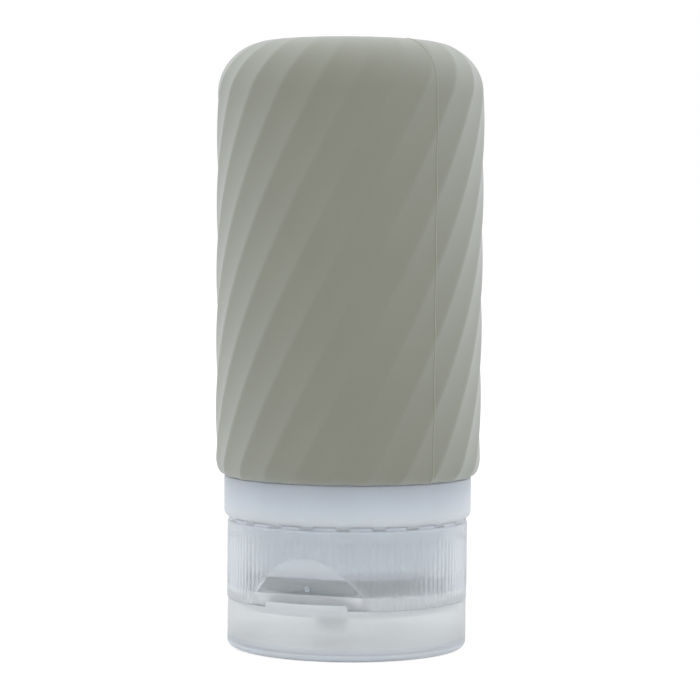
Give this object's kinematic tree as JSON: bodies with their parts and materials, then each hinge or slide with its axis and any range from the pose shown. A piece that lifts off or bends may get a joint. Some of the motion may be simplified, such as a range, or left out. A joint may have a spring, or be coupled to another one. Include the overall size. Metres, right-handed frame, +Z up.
{
  "type": "travel silicone bottle",
  "caption": "Soft squeeze bottle with twisted facets, standing on a screw cap with a flip lid, a thumb scoop and a no-drip spout under the lid.",
  "frame": {"origin": "centre of the lid's flat face, which the bottle stands on", "axes": "+Z up along the bottle's axis, from the lid to the closed end of the soft body; -Y towards the thumb scoop and lip, +Y towards the lid's hinge"},
  "size_m": [0.046, 0.046, 0.1038],
  "materials": {
    "soft_body": "matte grey-green silicone",
    "collar": "satin milky white plastic",
    "cap": "frosted see-through plastic with a satin skin",
    "liner": "matte white foam",
    "retainer": "satin milky white plastic",
    "valve": "matte pale silicone"
  },
  "bodies": {
    "bottle": {"silicone_body": "soft_body", "collar_ring": "collar"},
    "liner": {"sealing_liner": "liner"},
    "cap": {"cap_shell": "cap", "valve_retainer": "retainer", "slit_valve": "valve", "living_hinge": "cap"},
    "lid": {"flip_lid": "cap"}
  },
  "joints": [
    {"name": "cap_lift", "type": "slide", "parent": "bottle", "child": "liner", "axis": [0, 0, -1], "range_m": [0, 0.0027]},
    {"name": "cap_turn", "type": "hinge", "parent": "liner", "child": "cap", "pos_m": [0, 0, 0.0219], "axis": [0, 0, -1], "range_deg": [0, 300]},
    {"name": "lid_flip", "type": "hinge", "parent": "cap", "child": "lid", "pos_m": [0, 0.0209, 0.00857], "axis": [1, 0, 0], "range_deg": [0, 165], "deforming": ["living_hinge"]}
  ],
  "couplings": [
    {"joint": "cap_lift", "follows": "cap_turn", "m_per_rad": 0.0005093}
  ]
}
